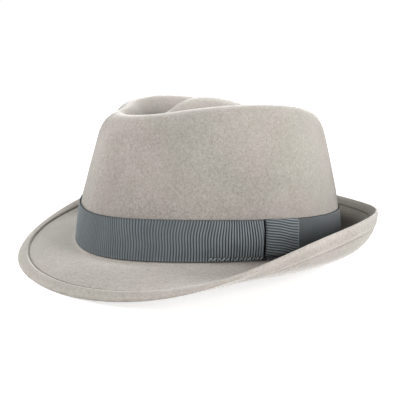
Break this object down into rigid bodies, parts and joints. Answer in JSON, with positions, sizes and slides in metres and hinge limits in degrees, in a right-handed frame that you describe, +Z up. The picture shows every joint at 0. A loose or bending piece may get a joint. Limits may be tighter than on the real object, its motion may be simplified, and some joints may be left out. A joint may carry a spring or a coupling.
{
  "type": "trilby hat",
  "caption": "Men's felt trilby with a dented, front-pinched crown, a narrow brim turned up at the back, and a ribbon band with a flat side bow.",
  "frame": {"origin": "on the ground, under the middle of the hat's bounding box", "axes": "+Z up, -Y towards the front of the brim, +X towards the wearer's left, where the bow is"},
  "size_m": [0.2324, 0.276, 0.1099],
  "materials": {
    "felt": "soft matt wool felt, warm light grey, finely mottled",
    "ribbon": "ribbed grosgrain ribbon, dark slate grey, faint sheen"
  },
  "bodies": {
    "root": {"felt_body": "felt", "hat_band": "ribbon", "bow_wing": "ribbon", "bow_knot": "ribbon"}
  },
  "joints": []
}
